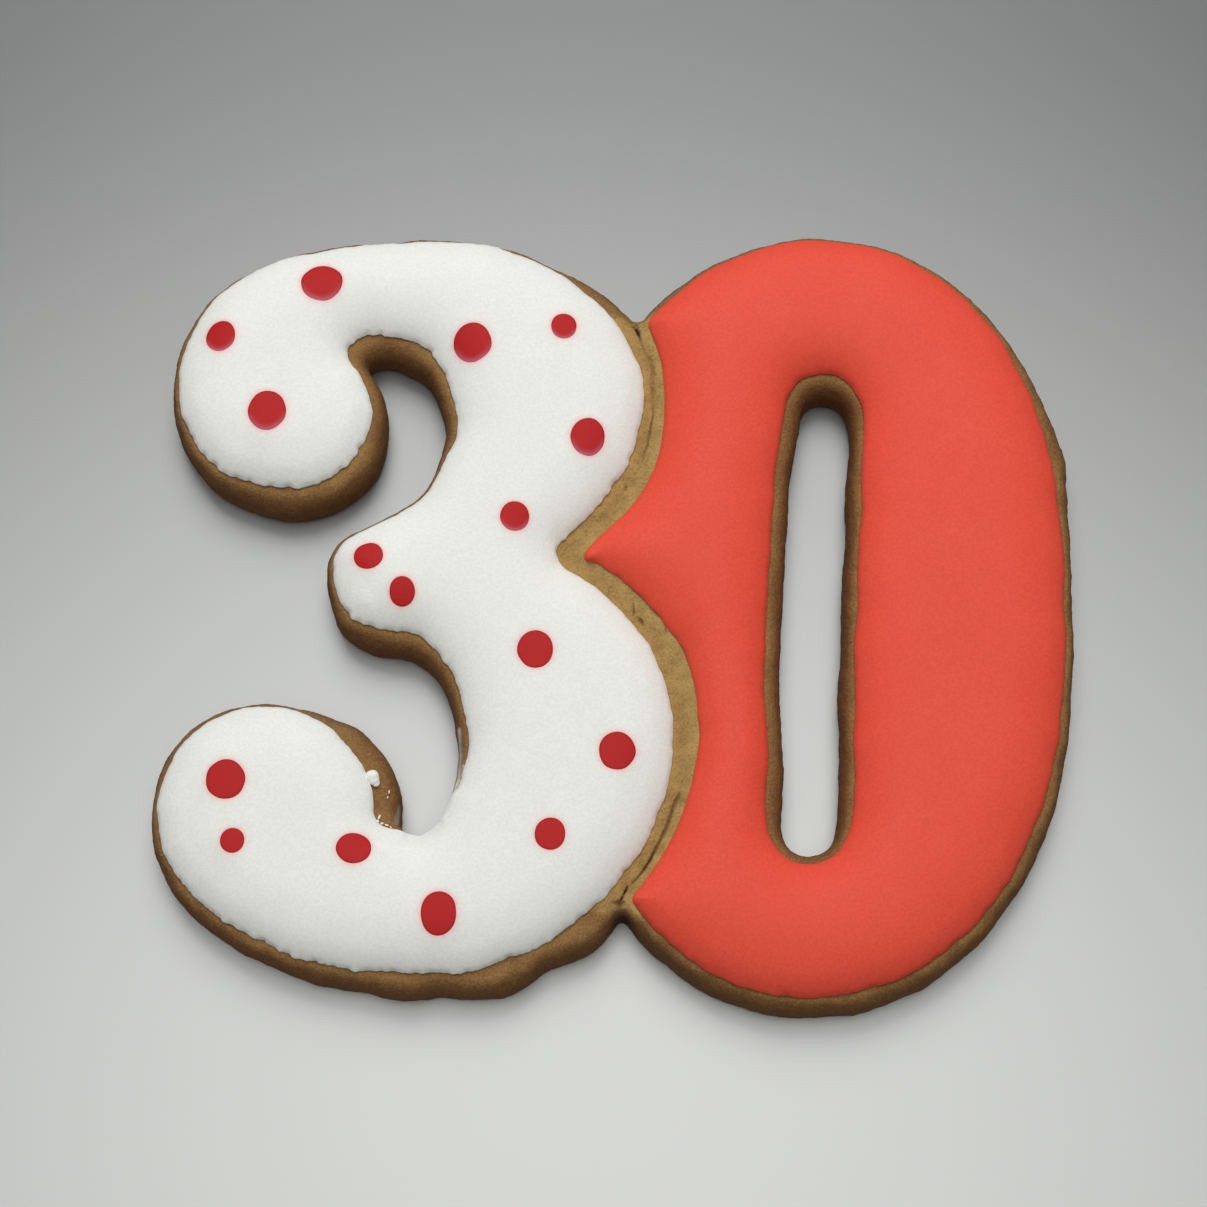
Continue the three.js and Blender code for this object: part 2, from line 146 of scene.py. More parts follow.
# Where the digits meet the dough dips a little, and it has cracked in places.
# Each crack runs through stations, with its half width and its depth at each of them.
SEAM_OFFSET = 1.25
SEAM_ROOM = 5.2
SEAM_FADE = 1.2
VALLEY_WIDTH = 0.9
VALLEY_DEPTH = 0.16
CRACKS = (
    (
        (1.8, 34.0, 0.08, 0.4),
        (2.2, 33.0, 0.09, 0.6),
        (2.5, 32.4, 0.13, 0.9),
        (2.7, 31.9, 0.12, 0.4),
        (2.9, 31.1, 0.1, 0.16),
        (3.4, 29.8, 0.12, 0.1),
        (4.0, 28.8, 0.24, 0.2),
        (4.2, 27.9, 0.2, 0.24),
        (4.2, 26.6, 0.14, 0.12),
        (4.2, 25.5, 0.2, 0.24),
        (4.2, 24.3, 0.14, 0.14),
        (4.2, 22.4, 0.11, 0.2),
        (3.9, 20.8, 0.11, 0.28),
        (3.5, 18.7, 0.1, 0.26),
        (2.9, 17.0, 0.09, 0.06),
    ),
    ((1.2, 14.0, 0.16, 0.25), (1.0, 13.6, 0.14, 0.2)),
    ((1.9, 0.5, 0.06, 0.25), (2.0, -0.7, 0.08, 0.35)),
    ((2.6, -1.3, 0.14, 0.4), (2.9, -1.7, 0.17, 0.45)),
    ((5.4, -2.4, 0.11, 0.22), (5.5, -2.9, 0.13, 0.2)),
    (
        (6.8, -20.8, 0.15, 0.25),
        (6.1, -22.2, 0.15, 0.35),
        (5.4, -24.4, 0.11, 0.4),
        (4.5, -26.2, 0.09, 0.4),
        (3.6, -27.9, 0.15, 0.6),
        (2.9, -29.1, 0.11, 0.45),
        (2.2, -29.9, 0.1, 0.35),
        (1.6, -30.6, 0.08, 0.2),
    ),
    ((1.15, -30.9, 0.08, 0.6), (0.95, -31.3, 0.12, 0.8), (0.75, -31.7, 0.08, 0.5)),
    ((0.65, -31.9, 0.1, 0.6), (0.35, -32.4, 0.13, 0.8), (0.4, -32.8, 0.08, 0.5)),
    ((0.3, -33.0, 0.1, 0.5), (0.5, -34.0, 0.16, 0.7)),
)
CRACK_STEP = 0.14
CRACK_ROWS = (-0.3, -0.17, -0.08, 0.0, 0.08, 0.17, 0.3)

# The bead and the crumbs of icing on the bare end of the 3: middle, height, half width,
# half length, turn, and how much of the dots' colour they have taken up
BITS = (
    (-26.15, -18.95, 6.25, 0.74, 0.72, 0.0, 0.0),
    (-25.98, -19.2, 6.22, 0.64, 0.72, 0.2, 0.0),
    (-25.78, -19.5, 6.15, 0.46, 0.62, 0.35, 0.12),
    (-24.32, -20.6, 6.0, 0.09, 0.2, -0.1, 0.3),
    (-24.47, -21.2, 6.0, 0.07, 0.16, -0.3, 0.4),
    (-25.3, -23.35, 6.05, 0.13, 0.28, -0.35, 0.15),
    (-25.5, -23.85, 6.05, 0.2, 0.22, -0.4, 0.1),
    (-25.75, -24.15, 6.1, 0.26, 0.16, 0.3, 0.1),
    (-25.0, -24.05, 6.05, 0.2, 0.13, 0.2, 0.2),
    (-24.5, -24.2, 6.0, 0.22, 0.1, -0.3, 0.3),
    (-24.05, -24.45, 6.0, 0.15, 0.11, -0.5, 0.35),
    (-23.75, -24.75, 5.95, 0.16, 0.12, 0.4, 0.25),
)
BIT_FLATNESS = 0.7
BIT_UNEVENNESS = 0.16
BIT_SHIFT = 2.9
BIT_SIDES = 16
BIT_RINGS = 9

# Icing wiped thinly over the dough's shoulder: the line it follows, its half width, its strength
SMEARS = (
    (
        ((-17.0, -13.6), (-16.9, -15.0), (-16.8, -16.5), (-16.9, -18.6), (-17.3, -20.8), (-17.8, -22.2)),
        0.2,
        1.0,
    ),
    (((-16.4, -17.7), (-16.55, -19.2), (-16.9, -20.8)), 0.1, 0.8),
    (((-23.3, -21.8), (-23.4, -23.0), (-23.5, -24.0)), 0.16, 0.5),
)

# Where the white icing runs over the dough's edge, at its foot and inside the upper bowl, and
# where it draws back at the cleft, with its corners rounded off: middle, reach and how far
WHITE_SWAYS = (
    (-20.8, -25.5, 2.4, 0.3),
    (-17.3, 21.6, 1.3, 0.2),
    (-6.3, 6.3, 0.9, -0.22),
    (-6.2, 7.6, 0.5, 0.16),
    (-6.2, 4.9, 0.5, 0.16),
)
# Where the coral icing's foot is scalloped, and where its tip in the cleft is drawn in to a
# sharper point: middle, reach and how far
CORAL_SWAYS = (
    (14.0, -41.6, 6.0, 0.25),
    (-2.85, 4.8, 0.65, -0.32),
    (-1.95, 4.8, 0.4, 0.08),
)
# Round that tip the edge is even: middle and reach
TIP = (-3.4, 5.7, 1.6)
# How far the icing's edge strays, how much further where it faces down, and its noise's shift
WHITE_EDGE = (0.07, 0.15, 3.1)
CORAL_EDGE = (0.04, 0.08, 8.7)
DOWNWARD_GAIN = 1.4
DOWNWARD_START = 0.1

# How brown the walls and the rims are, and how patchy
WALL_BAKE = 1.9
WALL_BAKE_POWER = 6
WALL_PATCHES = 0.1
RIM_BAKE = 0.81
RIM_PATCHES = 0.315
# How red the rims are, and how far in from the edge that reaches
RIM_REDNESS = 0.5
RIM_REACH = 1.5
# Painted shade along the rims: the direction that the shaded rims face, and how strong the painted shade
# is
RIM_SHADE_SIDE = (-0.6, 0.8)
RIM_SHADE_STRENGTH = 0.75
# Beside the white icing the seam is darker, up to this distance
PALE_START = 0.7
PALE_FADE = 1.4
# The darker foot, partly a browner foot and partly painted shade under its overhang: its height, how
# dark and patchy it is, and how fast that fades upwards
FOOT_HEIGHT = 1.6
FOOT_DARKENING = 0.1
FOOT_PATCHES = 0.2
FOOT_FADE = 1.5
# How dark the cracks are painted by their depth, as painted shade, and the level that smears and the
# cracks' painted shade fade out at
CRACK_DARKNESS = 0.95
CRACK_SHADE = 0.8
UPPER_WALL = 3.0
UPPER_FADE = 1.5
SMEAR_FADE = 1.0
# The bare end of the 3, where the dough is browner: middle, reach and how much
BARE_END = (-25.0, -20.5, 5.5, 0.95)
# The deep corner below the seam, painted darkest as painted shade: middle, reach and how much
DEEP_CORNER = (0.75, -33.9, 1.5, 0.95)
CORNER_TOP = 5.6

# Red dots, each with its middle, width and height
DOTS = (
    (-33.05, 37.3, 4.7, 4.5),
    (-44.2, 30.9, 3.4, 3.8),
    (-38.6, 21.9, 4.3, 4.6),
    (-16.0, 30.1, 4.3, 4.6),
    (-5.8, 32.0, 2.9, 3.1),
    (-3.1, 18.9, 3.8, 4.4),
    (-11.1, 9.6, 3.2, 3.4),
    (-27.0, 5.2, 3.3, 3.2),
    (-23.2, 1.1, 2.8, 3.3),
    (-8.7, -5.5, 3.9, 4.2),
    (0.1, -16.7, 3.9, 4.2),
    (-41.5, -19.8, 4.2, 4.4),
    (-7.0, -25.7, 3.3, 3.5),
    (-40.5, -26.4, 2.6, 2.7),
    (-27.7, -27.2, 3.7, 3.4),
    (-18.6, -34.1, 3.8, 4.7),
)
DOT_SIDES = 44
DOT_RINGS = 9
DOT_RISE = 0.07
DOT_SINK = 0.2
DOT_FOOT = 0.97
DOT_BOW = 0.8
DOT_LIP_DROP = 0.01
DOT_WAVER = 0.045
DOT_WAVER_SIZE = 1.6
DOT_WAVER_SHIFT = 0.7
# How dark a dot's edge is, and how pale the lower side of the upper dots is painted, as a painted
# reflection
DARK_EDGE = 0.45
DARK_EDGE_FROM = 0.9
DARK_EDGE_WIDTH = 0.08
PALE_SIDE = 0.75
PALE_SIDE_FROM = 0.72
PALE_SIDE_WIDTH = 0.28
PALE_DOTS_ABOVE = 8
# How the dots' colour has bled into the icing: its strength, and how fast it fades outwards
BLEED = 0.75
BLEED_FADE = 4.4
BLEED_LIMIT = 4
BLEED_RINGS = (0.35, 0.65, 0.85, 0.95, 1.04, 1.1, 1.17, 1.26, 1.38)

# The dough's colours, as display values
GOLDEN = (178, 144, 84)
UMBER = (146, 113, 62)
PALE_GOLD = (174, 146, 92)
BROWN = (137, 99, 58)
DEEP_BROWN = (113, 80, 47)
# Red brown: redder towards the outer rims' edge, and round the slot painted shade with painted reddish
# bounce light from the coral icing
RED_BROWN = (122, 72, 39)
# Greyish brown for the painted shade along the rims that face north-west
RIM_SHADE_BROWN = (112, 88, 68)
# Dark brown: dark crumbs and pores, and painted shade in the cracks, in the deep corner and at the foot
DARK_BROWN = (56, 36, 22)
LIGHT_CRUMB = (206, 172, 112)
PALE_FLECK = (190, 160, 116)
WIPED_ICING = (206, 200, 188)
# The dots' colours
DOT_RED = (184, 34, 34)
DEEP_RED = (172, 30, 32)
EDGE_RED = (120, 20, 36)
# Pale rose of the painted reflection on the lower side of the upper dots
SHEEN_ROSE = (196, 120, 138)
# The floor's colours, painted lighter towards the front as a painted reflection of the overhead lamp
FAR_GREY = (98, 99, 99)
NEAR_GREY = (190, 191, 188)

NOISE = "ShaderNodeTexNoise"
CELLS = "ShaderNodeTexVoronoi"


def noise_at(points, size, shift):
    """Smooth noise from -1 to 1 at points, with features of a size in millimetres."""
    at = np.asarray(points, float) / size + shift
    if at.shape[1] == 2:
        at = np.column_stack([at, np.full(len(at), shift)])
    return np.array([noise.noise(Vector(p)) for p in at])


def layered(points, layers, shift=0.0):
    """The sum of layers of noise at points."""
    return sum(amount * noise_at(points, size, shift + own) for amount, size, own in layers)


def ramp(values, start, width):
    """0 up to a start, and from there up to 1 over a width."""
    return np.clip((values - start) / width, 0, 1)


def area_of(loop):
    after = np.roll(loop, -1, axis=0)
    return np.sum(loop[:, 0] * after[:, 1] - after[:, 0] * loop[:, 1]) / 2


def rings(node, level):
    """The closed loops of a CAD node's edges that lie at one level, the outer loop first."""
    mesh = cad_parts[node].data
    corners = np.array([v.co for v in mesh.vertices]) / MM
    keys = [tuple(c) for c in np.round(corners[:, :2], MATCHING_DIGITS)]
    level_here = np.abs(corners[:, 2] - level) < SAME_LEVEL
    joined = {}
    for edge in mesh.edges:
        a, b = edge.vertices
        if level_here[a] and level_here[b] and keys[a] != keys[b]:
            joined.setdefault(keys[a], set()).add(keys[b])
            joined.setdefault(keys[b], set()).add(keys[a])
    loops = []
    while joined:
        here = next(iter(joined))
        loop = []
        while here in joined:
            loop.append(here)
            nearby = [k for k in joined.pop(here) if k in joined]
            here = nearby[0] if nearby else None
        loops.append(np.array(loop))
    loops.sort(key=lambda loop: -abs(area_of(loop)))
    return [loop if (area_of(loop) > 0) == (i == 0) else loop[::-1] for i, loop in enumerate(loops)]


def rounded(loop, step):
    """A closed centripetal curve through the points of a loop, in even steps."""
    before = np.roll(loop, 1, axis=0)
    after = np.roll(loop, -1, axis=0)
    gap = np.linalg.norm(after - loop, axis=1) ** 0.5
    gap_before = np.roll(gap, 1)
    slope = (
        (loop - before) / gap_before[:, None] * gap[:, None]
        + (after - loop) / gap[:, None] * gap_before[:, None]
    ) / (gap + gap_before)[:, None]
    t = np.linspace(0, 1, CURVE_PARTS, endpoint=False)[None, :, None]
    p, q = loop[:, None], after[:, None]
    u = slope[:, None] * gap[:, None, None]
    v = np.roll(slope, -1, axis=0)[:, None] * gap[:, None, None]
    curve = (
        (2 * t**3 - 3 * t**2 + 1) * p
        + (t**3 - 2 * t**2 + t) * u
        + (3 * t**2 - 2 * t**3) * q
        + (t**3 - t**2) * v
    ).reshape(-1, 2)
    closed = np.vstack([curve, curve[:1]])
    along = np.concatenate([[0], np.cumsum(np.linalg.norm(np.diff(closed, axis=0), axis=1))])
    wanted = np.linspace(0, along[-1], round(along[-1] / step), endpoint=False)
    return np.column_stack([np.interp(wanted, along, closed[:, k]) for k in (0, 1)])


class Outline:
    """Closed loops with the inside on their left, and the distance of any point to them."""

    def __init__(self, loops):
        self.loops = loops
        self.points = np.vstack(loops)
        self.before = np.vstack([np.roll(loop, 1, axis=0) for loop in loops])
        self.after = np.vstack([np.roll(loop, -1, axis=0) for loop in loops])
        run = self.after - self.before
        run /= np.linalg.norm(run, axis=1)[:, None]
        self.out = np.column_stack([run[:, 1], -run[:, 0]])
        self.tree = KDTree(len(self.points))
        for i, p in enumerate(self.points):
            self.tree.insert((p[0], p[1], 0), i)
        self.tree.balance()

    def nearest(self, points):
        return np.array([self.tree.find((p[0], p[1], 0))[1] for p in points])

    def depth(self, points):
        """How far inside the outline each point lies, below zero outside it."""
        index = self.nearest(points)
        here = self.points[index]
        best = np.linalg.norm(points - here, axis=1)
        for other in (self.before[index], self.after[index]):
            run = other - here
            share = np.sum((points - here) * run, axis=1) / np.sum(run * run, axis=1)
            foot = here + np.clip(share, 0, 1)[:, None] * run
            best = np.minimum(best, np.linalg.norm(points - foot, axis=1))
        side = np.sum((points - here) * self.out[index], axis=1)
        return np.where(side < 0, best, -best)


def blurred(values, outline, passes):
    """Values along an outline, averaged over a few neighbours."""
    result = values.copy()
    start = 0
    for loop in outline.loops:
        part = slice(start, start + len(loop))
        for _ in range(passes):
            v = result[part]
            result[part] = (np.roll(v, 1) + 2 * v + np.roll(v, -1)) / 4
        start += len(loop)
    return result


class Poured:
    """Icing's outline: the smooth cut of the solid, with an edge that waves in and out of it."""

    def __init__(self, cut, wave):
        self.cut = cut
        self.wave = wave
        self.broad = blurred(wave, cut, BROAD_PASSES)
        self.edge = self.row(0)
        self.loops = cut.loops

    def row(self, inset):
        """The points of a row at a distance in from the edge. Fine waves fade first inwards."""
        broad = self.broad * math.exp(-max(inset, 0) / WAVE_REACH)
        fine = (self.wave - self.broad) * math.exp(-max(inset, 0) / FINE_REACH)
        return self.cut.points + self.cut.out * (broad + fine - inset)[:, None]

    def split(self, points):
        ends = np.cumsum([len(loop) for loop in self.loops])
        return np.split(points, ends[:-1])

    def depth(self, points):
        """How far inside the edge each point lies, without the fine waves."""
        depth = self.cut.depth(points)
        broad = self.broad[self.cut.nearest(points)]
        return depth + broad * np.exp(-np.maximum(depth, 0) / WAVE_REACH)


def outline_of(node, level):
    return Outline([rounded(loop, OUTLINE_STEP) for loop in rings(node, level)])


dough = outline_of("cookie", DOUGH_WIDEST)
white_cut = outline_of("white_icing", DOUGH_TOP + ICING_LIP)
coral_cut = outline_of("coral_icing", DOUGH_TOP + ICING_LIP)


def facing_down(outline):
    """How much each point of an edge faces the foot of the digits, from 0 to 1."""
    return np.clip(-outline.out[:, 1] * DOWNWARD_GAIN - DOWNWARD_START, 0, 1)


def near_spot(points, spot):
    """1 at a spot of the drawing, fading to 0 over its reach."""
    gap = np.linalg.norm(points - np.array(spot[:2]) - SHIFT, axis=1)
    return np.exp(-((gap / spot[2]) ** 2))


def spots_at(points, spots):
    """The strengths of spots of the drawing at points, added up."""
    return sum(spot[3] * near_spot(points, spot) for spot in spots)


def edge_wave(cut, edge, sways, even=0.0):
    """How far the icing's edge strays outwards at each point of its cut, less where it is even."""
    all_round, downward, shift = edge
    amount = (all_round + downward * facing_down(cut)) * (1 - even)
    return amount * layered(cut.points, EDGE_WAVES, shift) + spots_at(cut.points, sways)


white = Poured(white_cut, edge_wave(white_cut, WHITE_EDGE, WHITE_SWAYS))
even_tip = near_spot(coral_cut.points, TIP)
coral = Poured(coral_cut, edge_wave(coral_cut, CORAL_EDGE, CORAL_SWAYS, even_tip))


def rim_width():
    """The rim that shows beside each point of the dough's edge, taken in by the shoulder."""
    gap = -np.maximum(white_cut.depth(dough.points), coral_cut.depth(dough.points))
    return np.clip(blurred(gap, dough, RIM_PASSES) - FLAT_RIM, NARROWEST_SHOULDER, WIDEST_SHOULDER)


shoulder = rim_width()


def beside_path(points, stations):
    """The distance from each point to a line through stations, and the stations' sizes there."""
    stations = np.array(stations)
    best = np.full(len(points), np.inf)
    sizes = np.zeros((len(points), stations.shape[1] - 2))
    for here, after in zip(stations, stations[1:]):
        run = after[:2] - here[:2]
        off = points - here[:2] - SHIFT
        share = np.clip(off @ run / (run @ run), 0, 1)
        gap = np.linalg.norm(off - share[:, None] * run, axis=1)
        closer = gap < best
        best[closer] = gap[closer]
        sizes[closer] = here[2:] + share[closer, None] * (after[2:] - here[2:])
    return best, sizes


def crack_points():
    """Points in close rows along the cracks, so that their sides are well shaped."""
    rows = []
    for crack in CRACKS:
        stations = np.array(crack)[:, :2] + SHIFT
        for here, after in zip(stations, stations[1:]):
            run = after - here
            length = np.linalg.norm(run)
            across = np.array([run[1], -run[0]]) / length
            for share in np.arange(0, 1, CRACK_STEP / length):
                rows += [here + share * run + across * off for off in CRACK_ROWS]
    return np.array(rows)


def crack_depth(points):
    """How deep the cracks are at points."""
    wobble = 1 + layered(points, CRACK_WOBBLE)
    deepest = np.zeros(len(points))
    for crack in CRACKS:
        gap, sizes = beside_path(points, crack)
        deepest = np.maximum(deepest, sizes[:, 1] * np.exp(-((gap / (sizes[:, 0] * wobble)) ** 2)))
    return deepest


def seam_room(points):
    """How far points are off the white icing, and 1 between the icings, fading to 0 elsewhere."""
    off_white = -white_cut.depth(points)
    off_coral = -coral_cut.depth(points)
    return off_white, np.clip((SEAM_ROOM - off_white - off_coral) / SEAM_FADE, 0, 1)


def seam_relief(points):
    """How far the dough's top dips along the seam where the digits meet."""
    off_white, between = seam_room(points)
    across = off_white - SEAM_OFFSET - layered(points, SEAM_WANDER)
    valley = VALLEY_DEPTH * between * np.exp(-((across / VALLEY_WIDTH) ** 2))
    return valley + crack_depth(points)


def dough_level(points):
    """The height of the dough's top surface, with its rounded shoulder and its seam."""
    depth = dough.depth(points)
    width = shoulder[dough.nearest(points)]
    inward = np.clip(depth / width, 0, 1)
    rounding = (1 - (1 - inward) ** SHOULDER_ROUNDNESS) ** (1 / SHOULDER_ROUNDNESS)
    top = WALL_TOP + (DOUGH_TOP - WALL_TOP) * rounding
    return top - seam_relief(points)


def icing_rise(depth):
    """The icing's height over the dough at a distance in from its edge."""
    across = np.clip(depth / PILLOW_WIDTH, 0, 1)
    pillow = (1 - (1 - across) ** PILLOW_BOW) ** PILLOW_STEEPNESS
    return ICING_LIP + (ICING_TOP - ICING_LIP) * pillow


def grid(outline, spacing, margin, seed):
    """Points in even rows inside an outline, a margin off its edge and moved a little by chance."""
    draw = np.random.default_rng(seed)
    low, high = outline.points.min(0), outline.points.max(0)
    xs = np.arange(low[0], high[0], spacing)
    ys = np.arange(low[1], high[1], spacing * math.sqrt(3) / 2)
    points = np.array([(x + (j % 2) * spacing / 2, y) for j, y in enumerate(ys) for x in xs])
    points += draw.uniform(-GRID_STRAY, GRID_STRAY, points.shape) * spacing
    return points[outline.depth(points) > margin]


def beside_edge(poured, insets):
    """Points on rings inside the icing's edge, without those that come nearer to another edge."""
    kept = []
    for inset in insets:
        points = poured.row(inset)
        kept.append(points[poured.cut.depth(points) > ROW_ROOM * inset])
    return np.vstack(kept)


def filled(loops, inner):
    """Triangles over the area that the loops bound, with corners also at the inner points."""
    border = np.vstack(loops)
    edges = []
    start = 0
    for loop in loops:
        count = len(loop)
        edges += [(start + k, start + (k + 1) % count) for k in range(count)]
        start += count
    points = [Vector(p) for p in np.vstack([border, inner])]
    found, _, faces, origins, _, _ = delaunay_2d_cdt(points, edges, [], INSIDE_ONLY, CLOSEST_CORNERS)
    flat = np.array([tuple(p) for p in found])
    index = np.full(len(points), -1)
    for k, origin in enumerate(origins):
        for o in origin:
            index[o] = k
    faces = np.array([tuple(f) for f in faces])
    rim = np.zeros(len(flat), bool)
    rim[index[: len(border)]] = True
    in_hole = rim[faces].all(axis=1) & (Outline(loops).depth(flat[faces].mean(axis=1)) < 0)
    return flat, faces[~in_hole], index


class Builder:
    """Collects corners and faces of one closed mesh."""

    def __init__(self):
        self.corners = []
        self.faces = []
        self.count = 0

    def add(self, points):
        """Adds corners and gives their numbers."""
        first = self.count
        self.corners.append(np.asarray(points, float))
        self.count += len(points)
        return np.arange(first, self.count)

    def band(self, low, high, loops):
        """Joins two rows of corners that follow the same loops."""
        start = 0
        for loop in loops:
            here = np.arange(start, start + len(loop))
            there = np.roll(here, -1)
            quads = np.column_stack([low[here], low[there], high[there], high[here]])
            self.faces += quads.tolist()
            start += len(loop)

    def cover(self, rim, flat, faces, index, level, upwards):
        """Fills a row of corners with a triangulated surface at the levels given."""
        border = index[: len(rim)]
        number = np.full(len(flat), -1)
        number[border] = rim
        inner = np.flatnonzero(number < 0)
        number[inner] = self.add(np.column_stack([flat[inner], level[inner]]))
        turned = number[faces]
        self.faces += (turned if upwards else turned[:, ::-1]).tolist()

    def piece(self, name, slot, material):
        mesh = bpy.data.meshes.new(name)
        mesh.from_pydata((np.vstack(self.corners) * MM).tolist(), [], self.faces)
        mesh.validate()
        mesh.shade_smooth()
        mesh.materials.append(material)
        made = bpy.data.objects.new(name, mesh)
        bpy.context.scene.collection.objects.link(made)
        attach(made, BODY)
        return made


def relaxed(flat, faces, level, hold, passes):
    """Levels evened out between neighbours, where hold is below 1. An even slope stays as it is."""
    ends = []
    pulls = []
    for k in range(3):
        a, b, c = (np.roll(faces, -k, axis=1)[:, i] for i in range(3))
        u, v = flat[a] - flat[c], flat[b] - flat[c]
        area = np.abs(u[:, 0] * v[:, 1] - u[:, 1] * v[:, 0])
        ends.append(np.sort(np.column_stack([a, b]), axis=1))
        pulls.append(np.sum(u * v, axis=1) / np.maximum(area, TINY))
    edges, which = np.unique(np.vstack(ends), axis=0, return_inverse=True)
    pull = np.maximum(np.bincount(which.ravel(), np.concatenate(pulls)), 0)
    a, b = edges.T
    count = len(flat)
    whole = np.bincount(a, pull, count) + np.bincount(b, pull, count)
    result = level.copy()
    for _ in range(passes):
        total = np.bincount(a, pull * result[b], count) + np.bincount(b, pull * result[a], count)
        result = hold * result + (1 - hold) * total / np.maximum(whole, TINY)
    return result


def linked(material, source, target):
    material.node_tree.links.new(source, target)


def new_material(name, roughness):
    made = bpy.data.materials.new(name)
    made.use_nodes = True
    shader = made.node_tree.nodes["Principled BSDF"]
    shader.inputs["Roughness"].default_value = roughness
    return made, shader


def node(material, kind, **settings):
    made = material.node_tree.nodes.new(kind)
    for key, value in settings.items():
        setattr(made, key, value)
    return made


def textured(material, kind, size, detail=2):
    """A noise or cell pattern whose features have a size in millimetres."""
    place = node(material, "ShaderNodeTexCoord")
    made = node(material, kind)
    made.inputs["Scale"].default_value = 1 / (size * MM)
    if "Detail" in made.inputs:
        made.inputs["Detail"].default_value = detail
    linked(material, place.outputs["Object"], made.inputs["Vector"])
    return made


def stretched(material, value, low, high):
    """A value mapped from low..high to 0..1."""
    made = node(material, "ShaderNodeMapRange", interpolation_type="SMOOTHSTEP")
    made.inputs["From Min"].default_value = low
    made.inputs["From Max"].default_value = high
    linked(material, value, made.inputs["Value"])
    return made.outputs["Result"]


def mixed(material, share, first, second):
    """A colour between two others. Each may be a tuple or a socket, and the share a number."""
    made = node(material, "ShaderNodeMix", data_type="RGBA")
    sockets = {s.identifier: s for s in made.inputs}
    for key, value in (("Factor_Float", share), ("A_Color", first), ("B_Color", second)):
        if isinstance(value, bpy.types.NodeSocket):
            linked(material, value, sockets[key])
        elif key == "Factor_Float":
            sockets[key].default_value = value
        else:
            sockets[key].default_value = (*value, 1)
    return next(s for s in made.outputs if s.identifier == "Result_Color")


def times(material, value, factor):
    made = node(material, "ShaderNodeMath", operation="MULTIPLY")
    linked(material, value, made.inputs[0])
    if isinstance(factor, bpy.types.NodeSocket):
        linked(material, factor, made.inputs[1])
    else:
        made.inputs[1].default_value = factor
    return made.outputs[0]


def bumped(material, shader, height, distance, strength):
    """Gives a shader a bump from a height. The distance is in millimetres."""
    made = node(material, "ShaderNodeBump")
    made.inputs["Distance"].default_value = distance * MM
    made.inputs["Strength"].default_value = strength
    linked(material, height, made.inputs["Height"])
    linked(material, made.outputs["Normal"], shader.inputs["Normal"])


def named_value(material, name):
    made = node(material, "ShaderNodeAttribute", attribute_name=name)
    return made.outputs["Fac"]


def linear(red, green, blue):
    """A colour given as 0 to 255 in display values, as the linear values that a shader takes."""
    parts = [c / 255 for c in (red, green, blue)]
    return tuple(c / 12.92 if c <= 0.04045 else ((c + 0.055) / 1.055) ** 2.4 for c in parts)


def icing_material(name, base, pale, deep, speck, bleed=None):
    material, shader = new_material(name, roughness=0.6)
    shader.inputs["Specular IOR Level"].default_value = 0.2
    drift = textured(material, NOISE, size=5.5, detail=3).outputs["Fac"]
    cloud = stretched(material, drift, low=0.35, high=0.7)
    grain = textured(material, NOISE, size=0.3, detail=3).outputs["Fac"]
    fine = stretched(material, grain, low=0.35, high=0.65)
    colour = mixed(material, times(material, cloud, 0.5), base, pale)
    colour = mixed(material, times(material, fine, 0.5), colour, deep)
    specks = pin_holes(material, apart=4.5, radius=0.17, share=0.35)
    colour = mixed(material, times(material, specks, 0.5), colour, speck)
    if bleed is not None:
        colour = mixed(material, named_value(material, "bleed"), colour, bleed)
    linked(material, colour, shader.inputs["Base Color"])
    bumped(material, shader, grain, distance=0.02, strength=0.35)
    return material


def pin_holes(material, apart, radius, share):
    """1 in small round spots, where chance puts one in a share of the cells, 0 between them."""
    full_within = 0.4
    narrow = 0.01
    cells = textured(material, CELLS, apart)
    reach = radius / apart
    inside = stretched(material, cells.outputs["Distance"], low=reach, high=full_within * reach)
    chance = node(material, "ShaderNodeSeparateColor")
    linked(material, cells.outputs["Color"], chance.inputs["Color"])
    picked = stretched(material, chance.outputs["Red"], low=1 - share - narrow, high=1 - share)
    return times(material, inside, picked)


